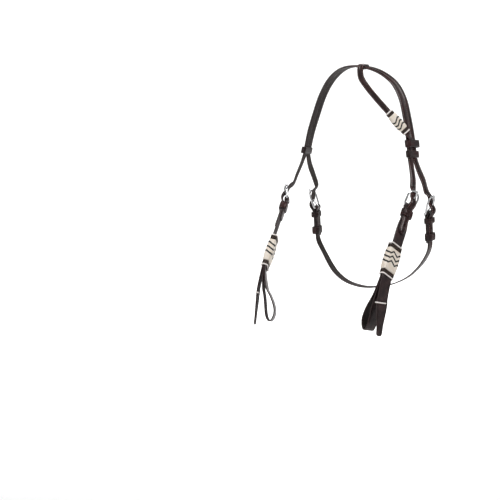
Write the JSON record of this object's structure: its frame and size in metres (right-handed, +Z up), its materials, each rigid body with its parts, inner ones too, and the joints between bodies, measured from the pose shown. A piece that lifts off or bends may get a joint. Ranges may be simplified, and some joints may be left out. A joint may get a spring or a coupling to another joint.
{
  "type": "one ear headstall",
  "caption": "Western bridle headstall of narrow dark leather straps with a slip ear loop, braided rawhide knots, buckled cheeks with bit loops, and a buckled throatlatch.",
  "frame": {"origin": "middle of the crown strap's underside, where it rests on the poll", "axes": "+Z up, -Y the way the wearer faces, +X the wearer's left, the side with the ear piece"},
  "size_m": [0.2486, 0.2257, 0.4284],
  "materials": {
    "dark_brown_leather": "satin, near-black brown with oxblood edges",
    "charcoal_leather": "satin, charcoal brown",
    "polished_steel": "polished",
    "cream_rawhide": "smooth, hard, braided",
    "dark_rawhide": "smooth, hard, braided, mottled brown-black",
    "lace_hide": "matt lace"
  },
  "bodies": {
    "headstall": {"crown_strap": "dark_brown_leather", "ear_strap": "dark_brown_leather", "ear_lower_loop": "dark_brown_leather", "throat_strap": "dark_brown_leather", "ear_knot_braid": "cream_rawhide", "ear_knot_upper_band": "dark_rawhide", "ear_knot_lower_band": "dark_rawhide", "ear_knot_upper_ring": "lace_hide", "ear_knot_lower_ring": "lace_hide", "left_cheek_keeper": "dark_brown_leather", "left_cheek_strap": "charcoal_leather", "left_bit_loop": "charcoal_leather", "left_bit_lace": "lace_hide", "left_cheek_knot_braid": "cream_rawhide", "left_cheek_knot_upper_band": "dark_rawhide", "left_cheek_knot_lower_band": "dark_rawhide", "left_cheek_knot_upper_ring": "lace_hide", "left_cheek_knot_lower_ring": "lace_hide", "left_throat_keeper": "dark_brown_leather", "left_split_keeper": "dark_brown_leather", "right_cheek_keeper": "dark_brown_leather", "right_cheek_strap": "charcoal_leather", "right_bit_loop": "charcoal_leather", "right_bit_lace": "lace_hide", "right_cheek_knot_braid": "cream_rawhide", "right_cheek_knot_upper_band": "dark_rawhide", "right_cheek_knot_lower_band": "dark_rawhide", "right_cheek_knot_upper_ring": "lace_hide", "right_cheek_knot_lower_ring": "lace_hide", "right_throat_keeper": "dark_brown_leather", "right_split_keeper": "dark_brown_leather"},
    "left_cheek_frame": {"left_cheek_buckle_frame": "polished_steel"},
    "left_cheek_tongue": {"left_cheek_buckle_tongue": "polished_steel"},
    "left_throat_frame": {"left_throat_buckle_frame": "polished_steel"},
    "left_throat_tongue": {"left_throat_buckle_tongue": "polished_steel"},
    "left_throat_slider": {"left_throat_slider": "dark_brown_leather"},
    "right_cheek_frame": {"right_cheek_buckle_frame": "polished_steel"},
    "right_cheek_tongue": {"right_cheek_buckle_tongue": "polished_steel"},
    "right_throat_frame": {"right_throat_buckle_frame": "polished_steel"},
    "right_throat_tongue": {"right_throat_buckle_tongue": "polished_steel"},
    "right_throat_slider": {"right_throat_slider": "dark_brown_leather"}
  },
  "joints": [
    {"name": "left_cheek_frame_hinge", "type": "hinge", "parent": "headstall", "child": "left_cheek_frame", "pos_m": [0.1125, -0.035, -0.224], "axis": [0.342, 0.7554, -0.559], "range_deg": [0, 4]},
    {"name": "left_cheek_tongue_hinge", "type": "hinge", "parent": "left_cheek_frame", "child": "left_cheek_tongue", "pos_m": [0.1125, -0.035, -0.224], "axis": [0.342, 0.7554, -0.559], "range_deg": [0, 6]},
    {"name": "right_cheek_frame_hinge", "type": "hinge", "parent": "headstall", "child": "right_cheek_frame", "pos_m": [-0.1125, -0.035, -0.224], "axis": [0.342, -0.7554, 0.559], "range_deg": [0, 4]},
    {"name": "right_cheek_tongue_hinge", "type": "hinge", "parent": "right_cheek_frame", "child": "right_cheek_tongue", "pos_m": [-0.1125, -0.035, -0.224], "axis": [0.342, -0.7554, 0.559], "range_deg": [0, 6]},
    {"name": "left_throat_frame_hinge", "type": "hinge", "parent": "headstall", "child": "left_throat_frame", "pos_m": [0.1055, 0.06, -0.244], "axis": [0.0698, 0.9901, 0.1216], "range_deg": [0, 4]},
    {"name": "left_throat_tongue_hinge", "type": "hinge", "parent": "left_throat_frame", "child": "left_throat_tongue", "pos_m": [0.1055, 0.06, -0.244], "axis": [0.0698, 0.9901, 0.1216], "range_deg": [0, 6]},
    {"name": "right_throat_frame_hinge", "type": "hinge", "parent": "headstall", "child": "right_throat_frame", "pos_m": [-0.1055, 0.06, -0.244], "axis": [0.0698, -0.9901, -0.1216], "range_deg": [0, 4]},
    {"name": "right_throat_tongue_hinge", "type": "hinge", "parent": "right_throat_frame", "child": "right_throat_tongue", "pos_m": [-0.1055, 0.06, -0.244], "axis": [0.0698, -0.9901, -0.1216], "range_deg": [0, 6]},
    {"name": "left_slider_slide", "type": "slide", "parent": "headstall", "child": "left_throat_slider", "axis": [0, -0.1219, 0.9925], "range_m": [-0.004, 0.016]},
    {"name": "right_slider_slide", "type": "slide", "parent": "headstall", "child": "right_throat_slider", "axis": [0, -0.1219, 0.9925], "range_m": [-0.004, 0.016]}
  ]
}
